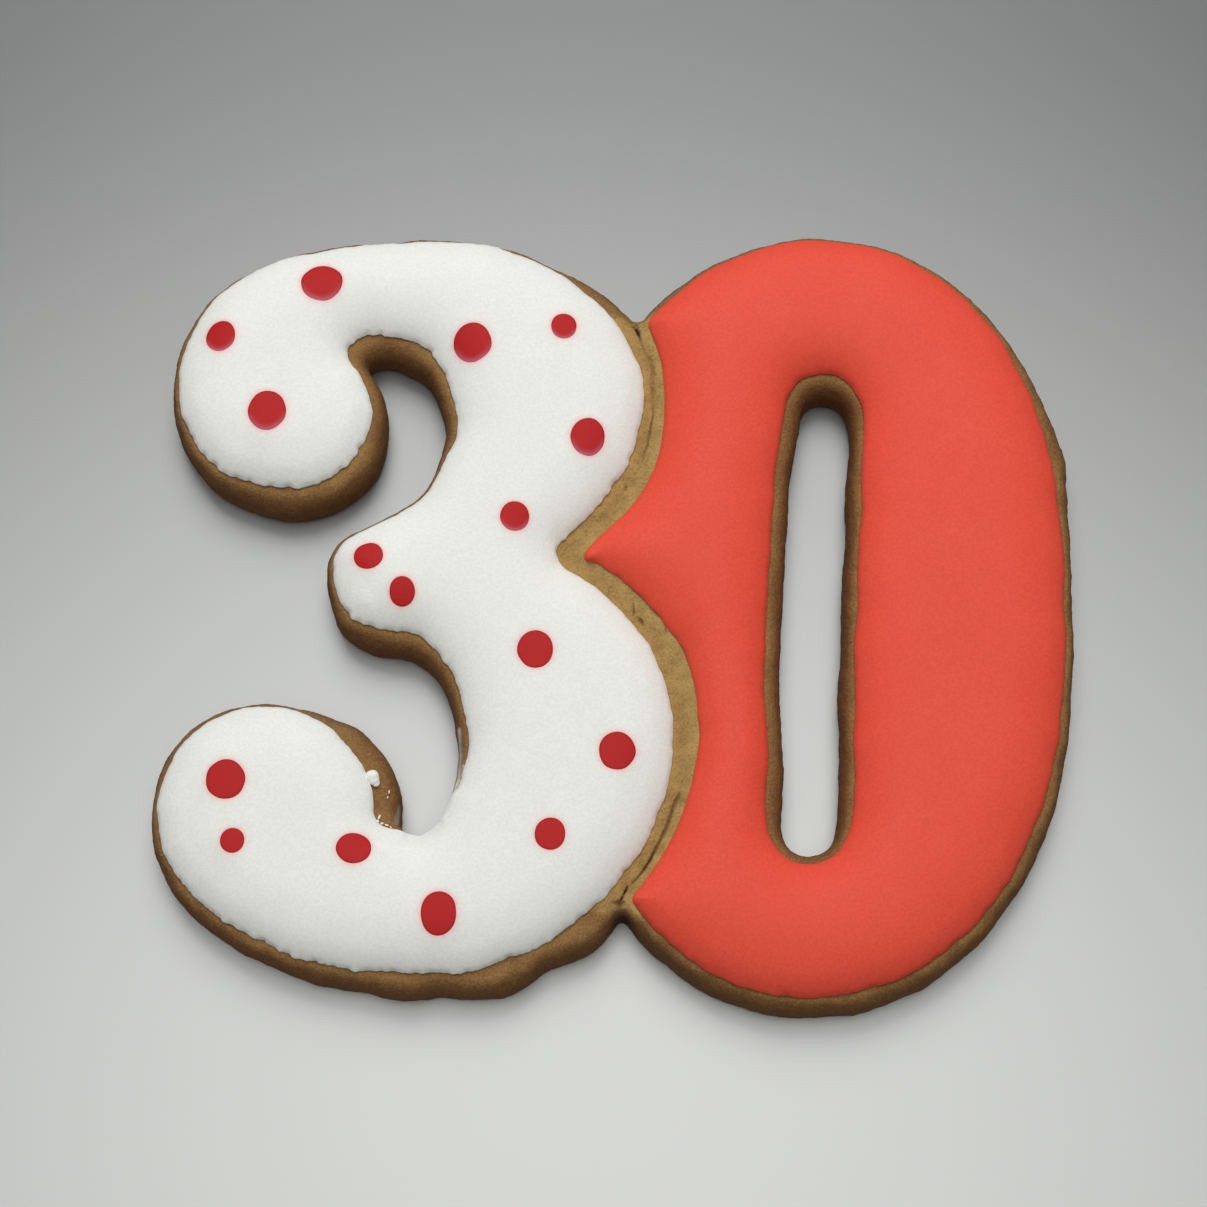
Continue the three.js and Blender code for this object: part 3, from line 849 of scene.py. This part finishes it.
def dough_material():
    material, shader = new_material("baked_dough", roughness=0.8)
    shader.inputs["Specular IOR Level"].default_value = 0.2
    dark = linear(*DARK_BROWN)
    drift = textured(material, NOISE, size=1.9, detail=4).outputs["Fac"]
    mottle = times(material, stretched(material, drift, low=0.36, high=0.68), 0.5)
    crumb = textured(material, NOISE, size=0.24, detail=3).outputs["Fac"]
    pale = times(material, named_value(material, "pale"), 0.6)
    top = mixed(material, pale, linear(*GOLDEN), linear(*PALE_GOLD))
    top = mixed(material, mottle, top, linear(*UMBER))
    wall = mixed(material, mottle, linear(*BROWN), linear(*DEEP_BROWN))
    # Redder rim edges, and the slot's painted shade with painted reddish bounce light
    red_edge_and_shade = times(material, named_value(material, "red_edge_and_shade"), 0.8)
    dark_crumb = times(material, stretched(material, crumb, low=0.45, high=0.75), 0.32)
    light_crumb = times(material, stretched(material, crumb, low=0.5, high=0.3), 0.12)
    flecks = times(material, pin_holes(material, apart=2.3, radius=0.24, share=0.4), 0.3)
    holes = times(material, pin_holes(material, apart=1.3, radius=0.16, share=0.5), 0.5)
    colour = mixed(material, named_value(material, "bake"), top, wall)
    for share, over in (
        (red_edge_and_shade, linear(*RED_BROWN)),
        (named_value(material, "rim_shade"), linear(*RIM_SHADE_BROWN)),
        (dark_crumb, dark),
        (light_crumb, linear(*LIGHT_CRUMB)),
        (flecks, linear(*PALE_FLECK)),
        (holes, dark),
        (named_value(material, "dark_foot_and_shade"), dark),
        (named_value(material, "smear"), linear(*WIPED_ICING)),
    ):
        colour = mixed(material, share, colour, over)
    linked(material, colour, shader.inputs["Base Color"])
    bumped(material, shader, crumb, distance=0.14, strength=0.8)
    return material


def put_attribute(piece, name, values):
    made = piece.data.attributes.new(name, "FLOAT", "POINT")
    made.data.foreach_set("value", np.asarray(values, np.float32))


def corners_of(piece):
    corners = np.zeros(len(piece.data.vertices) * 3)
    piece.data.vertices.foreach_get("co", corners)
    return corners.reshape(-1, 3) / MM


def dough_rows():
    """The rows of the dough's wall from the floor up, as a height and an inset from the edge."""
    rows = []
    for k in range(FOOT_ROWS):
        turn = math.pi / 2 * k / FOOT_ROWS
        share = math.cos(turn) ** (2 / FOOT_ROUNDNESS)
        inset = 1 - math.sin(turn) ** (2 / FOOT_ROUNDNESS)
        rows.append((DOUGH_WIDEST * (1 - share), np.full(len(dough.points), FOOT_INSET * inset)))
    for k in range(WALL_ROWS):
        height = DOUGH_WIDEST + (WALL_TOP - DOUGH_WIDEST) * k / WALL_ROWS
        rows.append((height, np.zeros(len(dough.points))))
    for k in range(SHOULDER_ROWS + 1):
        turn = math.pi / 2 * k / SHOULDER_ROWS
        rise = math.sin(turn) ** (2 / SHOULDER_ROUNDNESS)
        inset = 1 - math.cos(turn) ** (2 / SHOULDER_ROUNDNESS)
        rows.append((WALL_TOP + (DOUGH_TOP - WALL_TOP) * rise, shoulder * inset))
    return rows


def bake_dough(material):
    """The dough of both digits as one closed mesh, fine where it shows."""
    mesh = Builder()
    rows = []
    for height, inset in dough_rows():
        flat = dough.points - dough.out * inset[:, None]
        level = np.full(len(flat), height)
        if height > WALL_TOP:
            level = level - seam_relief(flat) * ((height - WALL_TOP) / (DOUGH_TOP - WALL_TOP))
        rows.append(mesh.add(np.column_stack([flat, level])))
    for low, high in zip(rows, rows[1:]):
        mesh.band(low, high, dough.loops)
    ends = np.cumsum([len(loop) for loop in dough.loops])[:-1]
    top_ring = np.split(mesh.corners[-1][:, :2], ends)
    inside = Outline(top_ring)
    beside = crack_points()
    beside = beside[inside.depth(beside) > CRACK_MARGIN * RIM_GRID]
    shown = np.vstack([grid(inside, RIM_GRID, RIM_MARGIN * RIM_GRID, SEEDS["rim"]), beside])
    shown = shown[np.maximum(white.depth(shown), coral.depth(shown)) < SHOWN_UNDER]
    hidden = grid(inside, HIDDEN_GRID, RIM_MARGIN * RIM_GRID, SEEDS["hidden"])
    hidden = hidden[np.maximum(white.depth(hidden), coral.depth(hidden)) > HIDDEN_FROM]
    flat, faces, index = filled(top_ring, np.vstack([shown, hidden]))
    mesh.cover(rows[-1], flat, faces, index, dough_level(flat), True)
    under_ring = np.split(mesh.corners[0][:, :2], ends)
    under = grid(Outline(under_ring), UNDER_GRID, UNDER_MARGIN * UNDER_GRID, SEEDS["under"])
    flat, faces, index = filled(under_ring, under)
    mesh.cover(rows[0], flat, faces, index, np.maximum(layered(flat, DIMPLES), 0), False)
    made = mesh.piece("dough", "baked_dough", material)
    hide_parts("cookie")
    roughen(made)
    paint(made)


def roughen(piece):
    """Small bumps and crumbs over the baked surface, square to it, that fade at the foot."""
    corners = corners_of(piece)
    normals = np.array([v.normal for v in piece.data.vertices])
    free = ramp(corners[:, 2], 0, BUMPS_FADE)
    moved = corners + normals * (layered(corners, DOUGH_BUMPS) * free)[:, None]
    moved[:, 2] = np.maximum(moved[:, 2], 0)
    piece.data.vertices.foreach_set("co", (moved * MM).ravel())
    piece.data.update()


def paint(piece):
    """How each spot of the dough is coloured: pale on the seam, brown on walls, darker at the foot
    partly as painted shade, and painted shade in the cracks, the deep corner, the slot and along the
    north-west rims.
    """
    corners = corners_of(piece)
    flat, level = corners[:, :2], corners[:, 2]
    off_white, between = seam_room(flat)
    patchy = layered(corners, BAKED_PATCHES)
    at_wall = 1 - ramp(level, 0, DOUGH_TOP) ** WALL_BAKE_POWER
    bake = np.clip(WALL_BAKE * at_wall + WALL_PATCHES * patchy, 0, 1)
    bake = np.maximum(bake, (1 - between) * (RIM_BAKE + RIM_PATCHES * patchy))
    bake = np.maximum(bake, spots_at(flat, [BARE_END]))
    put_attribute(piece, "bake", np.clip(bake, 0, 1))
    put_attribute(piece, "pale", between * ramp(off_white, PALE_START, PALE_FADE))
    # Round the slot inside the 0 the red brown is painted at full strength, as painted shade of the
    # enclosed slot and painted reddish bounce light from the coral icing; the other rims are redder
    # towards their edge
    beside_slot = dough.nearest(flat) >= len(dough.loops[0])
    at_edge = np.exp(-np.maximum(dough.depth(flat), 0) / RIM_REACH)
    put_attribute(piece, "red_edge_and_shade", np.maximum(beside_slot, RIM_REDNESS * (1 - between)) * at_edge)
    # Painted shade along the outer rims that face north-west
    away = np.clip(dough.out[dough.nearest(flat)] @ RIM_SHADE_SIDE, 0, 1) * ~beside_slot
    put_attribute(piece, "rim_shade", RIM_SHADE_STRENGTH * away * (1 - between) * at_edge)
    # Darker towards the foot, partly as painted shade under the overhang
    low = 1 - ramp(level, 0, FOOT_HEIGHT)
    foot = FOOT_DARKENING * low**FOOT_FADE + FOOT_PATCHES * patchy * low
    # Painted shade in the cracks, darker the deeper they are
    cracked = CRACK_SHADE * np.clip(CRACK_DARKNESS * crack_depth(flat), 0, 1)
    cracked *= ramp(level, UPPER_WALL, UPPER_FADE)
    # Painted shade in the deep corner below the seam
    corner = spots_at(flat, [DEEP_CORNER]) * ramp(-level, -CORNER_TOP, UPPER_FADE)
    put_attribute(piece, "dark_foot_and_shade", np.clip(np.max([foot, cracked, corner], axis=0), 0, 1))
    smeared = np.zeros(len(flat))
    for stations, half_width, strength in SMEARS:
        gap, _ = beside_path(flat, stations)
        smeared = np.maximum(smeared, strength * np.exp(-((gap / half_width) ** 2)))
    put_attribute(piece, "smear", smeared * ramp(level, UPPER_WALL, SMEAR_FADE))


def pour(name, poured, slot, node_name, material, spots=None):
    """Icing as one closed mesh that stands on the dough."""
    mesh = Builder()
    base = np.maximum(dough_level(poured.edge), DOUGH_TOP - DEEPEST_DRAPE)
    rows = []
    for inset, rise in ICING_SECTION:
        rows.append(mesh.add(np.column_stack([poured.row(inset), base + rise])))
    rim = poured.row(LIP_INSET)
    level = base + icing_rise(np.full(len(rim), LIP_INSET))
    rows.append(mesh.add(np.column_stack([rim, level])))
    for low, high in zip(rows, rows[1:]):
        mesh.band(low, high, poured.loops)
    inner_margin = EDGE_INSETS[-1] + ICING_GRID / 2
    inner = [
        beside_edge(poured, EDGE_INSETS),
        grid(poured.cut, ICING_GRID, inner_margin, SEEDS["icing"]),
    ]
    if spots is not None:
        inner.append(spots)
    flat, faces, index = filled(poured.split(rim), np.vstack(inner))
    depth = np.maximum(poured.depth(flat), 0)
    drape = blurred(base - DOUGH_TOP, poured.cut, BROAD_PASSES)[poured.cut.nearest(flat)]
    floor = DOUGH_TOP + drape * np.exp(-depth / WAVE_REACH)
    level = floor + icing_rise(depth) + layered(flat, ICING_SWELL) * ramp(depth, 0, SWELL_START)
    hold = 1 - EVENING * ramp(depth, EVENING_START, EVENING_WIDTH)
    level = relaxed(flat, faces, level, hold, EVENING_PASSES)
    mesh.cover(rows[-1], flat, faces, index, level, True)
    under = poured.split(mesh.corners[0][:, :2])
    inner = grid(poured.cut, HIDDEN_GRID, HIDDEN_MARGIN, SEEDS["icing_under"])
    flat, faces, index = filled(under, inner)
    mesh.cover(rows[0], flat, faces, index, np.full(len(flat), DOUGH_TOP - ICING_SINK), False)
    made = mesh.piece(name, slot, material)
    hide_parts(node_name)
    return made


def dot_edges():
    """The wavering edge of each red dot: its middle and its points, in order round it."""
    turn = np.linspace(0, 2 * math.pi, DOT_SIDES, endpoint=False)
    edges = []
    for k, (x, y, width, height) in enumerate(DOTS):
        middle = np.array([x, y]) + SHIFT
        spoke = np.column_stack([np.cos(turn) * width / 2, np.sin(turn) * height / 2])
        waver = DOT_WAVER * noise_at(middle + spoke, DOT_WAVER_SIZE, DOT_WAVER_SHIFT * k)
        edges.append((middle, spoke * (1 + waver[:, None])))
    return edges


def round_dots(edges):
    """Points in and round the dots, close enough together for their colour to bleed over them."""
    return np.vstack([middle + spoke[::2] * ring for middle, spoke in edges for ring in BLEED_RINGS])


def bleed_at(points, edges):
    """How strongly the dots' colour has bled into the icing at points, from 0 to 1."""
    result = np.zeros(len(points))
    for middle, spoke in edges:
        off = points - middle
        near = np.linalg.norm(off, axis=1) < BLEED_LIMIT
        size = np.linalg.norm(spoke, axis=1)
        turn = np.arctan2(off[near, 1], off[near, 0])
        spoke_turn = np.arctan2(spoke[:, 1], spoke[:, 0])
        edge = np.interp(turn, *np.array(sorted(zip(spoke_turn, size))).T, period=2 * math.pi)
        outside = np.maximum(np.linalg.norm(off[near], axis=1) - edge, 0)
        result[near] = np.maximum(result[near], np.exp(-outside * BLEED_FADE))
    return result


def surface_of(piece):
    """A piece's faces, to find the height of its surface in."""
    corners = [v.co for v in piece.data.vertices]
    return BVHTree.FromPolygons(corners, [p.vertices for p in piece.data.polygons])


def red_dots(icing, edges, material):
    """The red dots as one piece of thin round lenses that lie in the white icing."""
    tree = surface_of(icing)
    mesh = Builder()
    marks = []

    def on_icing(flat, rise):
        above = 2 * (DOUGH_TOP + ICING_TOP) * MM
        down = Vector((0, 0, -1))
        hits = [tree.ray_cast(Vector((x * MM, y * MM, above)), down)[0].z for x, y in flat]
        return np.column_stack([flat, np.array(hits) / MM + rise])

    def mark(spoke, share, fades):
        """How much of the dark edge and of the painted reflection on the lower side a ring of the dot
        has.
        """
        down = np.clip(-spoke[:, 1] / np.linalg.norm(spoke, axis=1), 0, 1)
        edge = np.full(len(spoke), DARK_EDGE * ramp(share, DARK_EDGE_FROM, DARK_EDGE_WIDTH))
        pale = fades * down * ramp(share, PALE_SIDE_FROM, PALE_SIDE_WIDTH)
        marks.append(np.column_stack([edge, pale]))

    for middle, spoke in edges:
        loops = [spoke]
        # The upper dots get a painted reflection on their lower side
        fades = PALE_SIDE * (middle[1] > PALE_DOTS_ABOVE)
        ring = mesh.add(on_icing(middle + spoke * DOT_FOOT, -DOT_SINK))
        mark(spoke, 1, fades)
        bottom = ring
        for k in range(DOT_RINGS):
            turn = math.pi / 2 * k / DOT_RINGS
            share = math.cos(turn)
            rise = DOT_RISE * math.sin(turn) ** DOT_BOW - DOT_LIP_DROP * (k == 0)
            above = mesh.add(on_icing(middle + spoke * share, rise))
            mark(spoke, share, fades)
            mesh.band(ring, above, loops)
            ring = above
        top = mesh.add(on_icing([middle], DOT_RISE))[0]
        low = mesh.add(on_icing([middle], -DOT_SINK))[0]
        marks.append(np.zeros((2, 2)))
        for k in range(DOT_SIDES):
            after = (k + 1) % DOT_SIDES
            mesh.faces.append([ring[k], ring[after], top])
            mesh.faces.append([bottom[after], bottom[k], low])
    made = mesh.piece("red_dots", "red_dots", material)
    for name, values in zip(("edge", "fade"), np.vstack(marks).T):
        put_attribute(made, name, values)


def lump(mesh, place, sizes, turn):
    """A small rounded crumb with three half sizes, turned about the upright axis."""
    around = np.linspace(0, 2 * math.pi, BIT_SIDES, endpoint=False)
    c, s = math.cos(turn), math.sin(turn)
    heading = np.array([[c, s, 0], [-s, c, 0], [0, 0, 1]])
    rings_made = []
    for k in range(1, BIT_RINGS):
        tilt = math.pi * k / BIT_RINGS
        ring = np.column_stack([np.cos(around), np.sin(around), np.zeros(BIT_SIDES)]) * math.sin(tilt)
        ring[:, 2] = -math.cos(tilt)
        ring = (ring * sizes) @ heading
        uneven = 1 + BIT_UNEVENNESS * noise_at(ring + place, max(sizes) / 2, BIT_SHIFT)
        rings_made.append(mesh.add(place + ring * uneven[:, None]))
    for low, high in zip(rings_made, rings_made[1:]):
        mesh.band(low, high, [around])
    ends = mesh.add([np.array(place) - (0, 0, sizes[2]), np.array(place) + (0, 0, sizes[2])])
    for k in range(BIT_SIDES):
        after = (k + 1) % BIT_SIDES
        mesh.faces.append([rings_made[0][after], rings_made[0][k], ends[0]])
        mesh.faces.append([rings_made[-1][k], rings_made[-1][after], ends[1]])


def icing_bits(material):
    """The bead and the crumbs of white icing that stick to the bare dough."""
    mesh = Builder()
    taken_up = []
    for x, y, z, half_width, half_length, turn, tint in BITS:
        before = mesh.count
        height = BIT_FLATNESS * min(half_width, half_length)
        lump(mesh, (x + SHIFT[0], y + SHIFT[1], z), (half_width, half_length, height), turn)
        taken_up += [tint] * (mesh.count - before)
    made = mesh.piece("icing_bits", "white_icing", material)
    put_attribute(made, "bleed", taken_up)


def dot_material():
    material, shader = new_material("red_dots", roughness=0.6)
    shader.inputs["Specular IOR Level"].default_value = 0.15
    grain = textured(material, NOISE, size=0.4).outputs["Fac"]
    fine = times(material, stretched(material, grain, low=0.35, high=0.65), 0.3)
    colour = mixed(material, fine, linear(*DOT_RED), linear(*DEEP_RED))
    colour = mixed(material, named_value(material, "edge"), colour, linear(*EDGE_RED))
    # Painted reflection on the lower side of the upper dots
    colour = mixed(material, named_value(material, "fade"), colour, linear(*SHEEN_ROSE))
    linked(material, colour, shader.inputs["Base Color"])
    bumped(material, shader, grain, distance=0.02, strength=0.3)
    return material


def studio():
    """A plain pale floor, painted brighter towards the front as a painted reflection of the overhead
    lamp, and soft lights.
    """
    half = 1500 * MM
    gap = 0.02 * MM
    bright_from, bright_to = 90 * MM, -75 * MM
    floor_mesh = bpy.data.meshes.new("floor")
    floor_mesh.from_pydata(
        [(-half, -half, 0), (half, -half, 0), (half, half, 0), (-half, half, 0)], [], [(0, 1, 2, 3)]
    )
    floor = bpy.data.objects.new("floor", floor_mesh)
    floor.location.z = -gap
    bpy.context.scene.collection.objects.link(floor)
    material, shader = new_material("plain_floor", roughness=0.5)
    shader.inputs["Metallic"].default_value = 0.85
    place = node(material, "ShaderNodeTexCoord")
    parts = node(material, "ShaderNodeSeparateXYZ")
    linked(material, place.outputs["Object"], parts.inputs["Vector"])
    # The floor's colour is painted lighter towards the front, as a painted reflection of the overhead
    # lamp
    painted_reflection = stretched(material, parts.outputs["Y"], low=bright_from, high=bright_to)
    colour = mixed(material, painted_reflection, linear(*FAR_GREY), linear(*NEAR_GREY))
    linked(material, colour, shader.inputs["Base Color"])
    floor_mesh.materials.append(material)
    world = bpy.data.worlds.new("soft_light")
    world.use_nodes = True
    background = world.node_tree.nodes["Background"]
    background.inputs["Color"].default_value = (0.95, 0.98, 1, 1)
    background.inputs["Strength"].default_value = 0.12
    bpy.context.scene.world = world
    area_light("key", place=(-0.02, 0.42, 0.55), size=0.5, power=3.05)
    area_light("overhead", place=(0.0, -0.05, 0.7), size=0.7, power=2.2)


def area_light(name, place, size, power):
    """A round soft lamp that faces the part. Its place and size are in metres."""
    lamp = bpy.data.lights.new(name, "AREA")
    lamp.shape = "DISK"
    lamp.size = size
    lamp.energy = power
    made = bpy.data.objects.new(name, lamp)
    made.location = place
    made.rotation_euler = (-Vector(place)).to_track_quat("-Z", "Y").to_euler()
    bpy.context.scene.collection.objects.link(made)


def aim_camera():
    """The photograph's viewing angle, framing and distance."""
    elevation = math.radians(73.6)
    distance = 286.35
    target = Vector((-1.654, 2.139, 0))
    focal_pixels = 2560
    frame_pixels = 1207
    nearest, farthest = 0.01, 10
    camera = bpy.data.cameras.new("camera")
    camera.sensor_width = 36
    camera.lens = camera.sensor_width * focal_pixels / frame_pixels
    made = bpy.data.objects.new("camera", camera)
    back = Vector((0, -math.cos(elevation), math.sin(elevation)))
    made.location = (target + back * distance) * MM
    made.rotation_euler = (math.pi / 2 - elevation, 0, 0)
    camera.clip_start = nearest
    camera.clip_end = farthest
    bpy.context.scene.collection.objects.link(made)
    bpy.context.scene.camera = made


bake_dough(dough_material())
edges = dot_edges()
white_look = icing_material(
    "white_icing",
    base=linear(238, 239, 232),
    pale=linear(242, 243, 238),
    deep=linear(226, 226, 218),
    speck=linear(186, 181, 176),
    bleed=linear(242, 168, 164),
)
coral_look = icing_material(
    "coral_icing",
    base=linear(234, 82, 61),
    pale=linear(238, 88, 67),
    deep=linear(218, 73, 54),
    speck=linear(204, 64, 48),
)
white_flood = pour("white_flood", white, "white_icing", "white_icing", white_look, round_dots(edges))
put_attribute(white_flood, "bleed", BLEED * bleed_at(corners_of(white_flood)[:, :2], edges))
red_dots(white_flood, edges, dot_material())
pour("coral_flood", coral, "coral_icing", "coral_icing", coral_look)
icing_bits(white_look)
studio()
aim_camera()
bpy.context.scene.view_settings.view_transform = "Standard"
